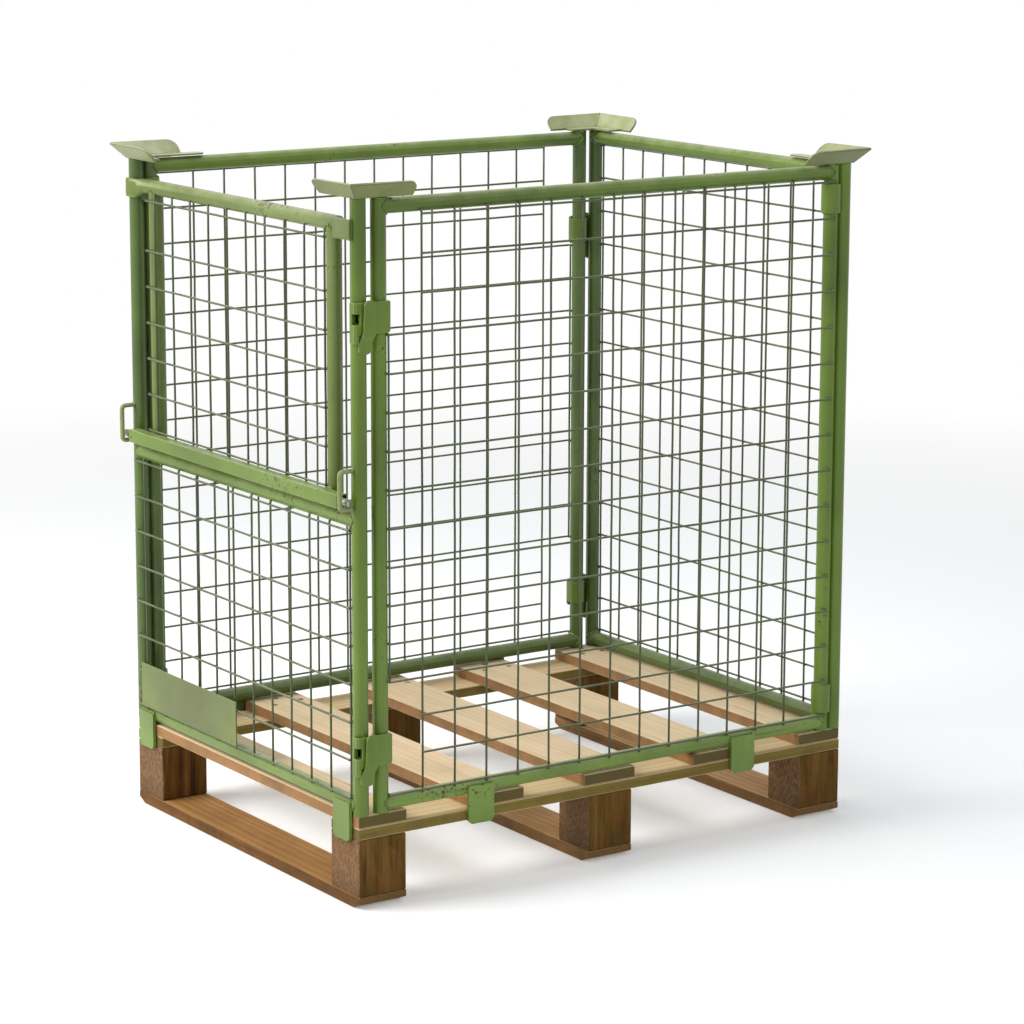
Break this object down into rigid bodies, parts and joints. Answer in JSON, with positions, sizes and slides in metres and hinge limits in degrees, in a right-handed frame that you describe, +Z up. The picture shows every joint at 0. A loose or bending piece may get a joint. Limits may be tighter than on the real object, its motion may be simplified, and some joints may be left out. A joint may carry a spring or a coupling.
{
  "type": "wire mesh pallet collar with drop gate on a wooden pallet",
  "caption": "Demountable steel wire-mesh collar with latch corners, stacking corners and a fold-down half gate, standing on a half-size wooden pallet.",
  "frame": {"origin": "middle of the middle skid's underside, on the floor", "axes": "+Z up, +X along the 800 mm side away from the gate end, -Y towards the front long panel"},
  "size_m": [0.843, 0.638, 0.9473],
  "materials": {
    "green_paint": "semi-gloss olive green paint",
    "green_wire": "olive green dip paint on wire",
    "rod_steel": "thin green paint worn to steel",
    "pallet_timber": "sawn softwood",
    "block_wood": "brown chip block",
    "skid_wood": "sawn softwood, weathered"
  },
  "bodies": {
    "pallet": {"block_left_back": "block_wood", "block_left_front": "block_wood", "block_middle_back": "block_wood", "block_middle_front": "block_wood", "block_right_back": "block_wood", "block_right_front": "block_wood", "deck_board_1": "pallet_timber", "deck_board_2": "pallet_timber", "deck_board_3": "pallet_timber", "deck_board_4": "pallet_timber", "deck_board_5": "pallet_timber", "skid_left": "skid_wood", "skid_middle": "skid_wood", "skid_right": "skid_wood", "stringer_back": "pallet_timber", "stringer_front": "pallet_timber"},
    "left_end": {"left_back_post": "green_paint", "left_blank_plate": "green_paint", "left_bottom_rail": "green_paint", "left_front_post": "green_paint", "left_gate_loop_back": "green_paint", "left_gate_loop_front": "green_paint", "left_mesh": "green_wire", "left_middle_rail": "green_paint", "left_tongue_lower": "green_paint", "left_tongue_upper": "green_paint"},
    "right_end": {"right_back_post": "green_paint", "right_bottom_rail": "green_paint", "right_front_post": "green_paint", "right_mesh": "green_wire", "right_tongue_lower": "green_paint", "right_tongue_upper": "green_paint", "right_top_rail": "green_paint"},
    "front_panel": {"front_bottom_rail": "green_paint", "front_latch_post": "green_paint", "front_latch_strap_lower": "green_paint", "front_latch_strap_upper": "green_paint", "front_mesh": "green_wire", "front_sleeve_lower": "green_paint", "front_sleeve_post": "green_paint", "front_sleeve_upper": "green_paint", "front_stacking_corner_left": "green_paint", "front_stacking_corner_right": "green_paint", "front_top_rail": "green_paint"},
    "back_panel": {"back_bottom_rail": "green_paint", "back_latch_post": "green_paint", "back_latch_strap_lower": "green_paint", "back_latch_strap_upper": "green_paint", "back_mesh": "green_wire", "back_sleeve_lower": "green_paint", "back_sleeve_post": "green_paint", "back_sleeve_upper": "green_paint", "back_stacking_corner_left": "green_paint", "back_stacking_corner_right": "green_paint", "back_top_rail": "green_paint"},
    "gate_carriage": {"gate_hinge_rod": "rod_steel"},
    "gate": {"gate_bottom_rail": "green_paint", "gate_frame": "green_paint", "gate_mesh": "green_wire"}
  },
  "joints": [
    {"name": "left_end_lift", "type": "slide", "parent": "pallet", "child": "left_end", "axis": [0, 0, 1], "range_m": [0, 0.25]},
    {"name": "right_end_lift", "type": "slide", "parent": "pallet", "child": "right_end", "axis": [0, 0, 1], "range_m": [0, 0.25]},
    {"name": "front_panel_lift", "type": "slide", "parent": "left_end", "child": "front_panel", "axis": [0, 0, 1], "range_m": [0, 0.05]},
    {"name": "back_panel_lift", "type": "slide", "parent": "left_end", "child": "back_panel", "axis": [0, 0, 1], "range_m": [0, 0.05]},
    {"name": "gate_lift", "type": "slide", "parent": "left_end", "child": "gate_carriage", "axis": [0, 0, 1], "range_m": [0, 0.024]},
    {"name": "gate_swing", "type": "hinge", "parent": "gate_carriage", "child": "gate", "pos_m": [-0.4103, 0, 0.5392], "axis": [0, -1, 0], "range_deg": [0, 180]}
  ],
  "couplings": [
    {"joint": "right_end_lift", "follows": "left_end_lift", "ratio": 1}
  ]
}
